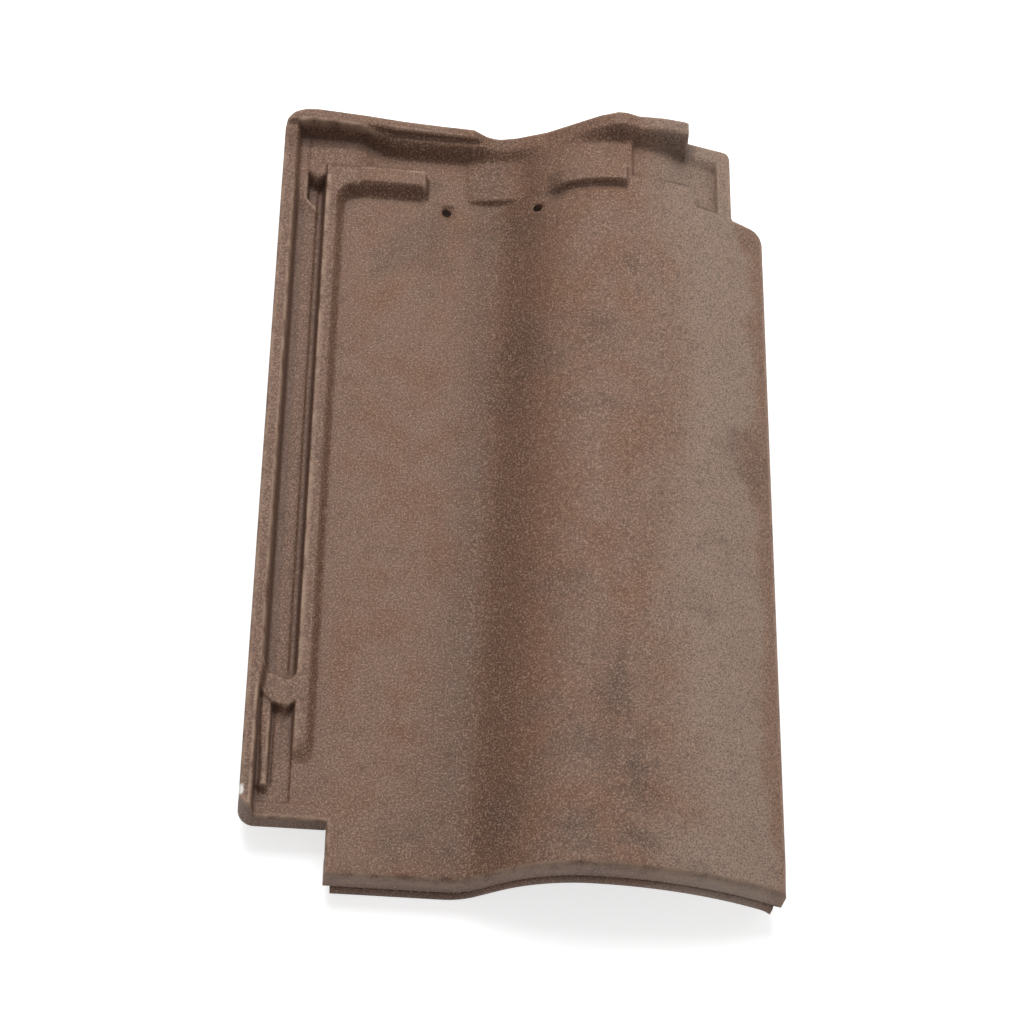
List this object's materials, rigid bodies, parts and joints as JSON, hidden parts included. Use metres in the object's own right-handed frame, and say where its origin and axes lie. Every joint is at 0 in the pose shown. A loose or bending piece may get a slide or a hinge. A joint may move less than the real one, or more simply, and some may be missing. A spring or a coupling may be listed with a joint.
{
  "type": "interlocking roof tile",
  "caption": "Pressed clay interlocking pantile with a flat pan, a side roll ending in a cover flap, a channelled side lock and a raised head lock.",
  "frame": {"origin": "centre of the bounding box in plan, on the floor plane that the nibs and the tail nose rest on", "axes": "+X across the roof from the side lock to the cover flap, +Y up the roof from the tail to the head, +Z out of the roof"},
  "size_m": [0.26, 0.428, 0.0713],
  "materials": {
    "fired_clay": "matte brown engobe with a fine sandy grain"
  },
  "bodies": {
    "root": {"verge_tile": "fired_clay"}
  },
  "joints": []
}
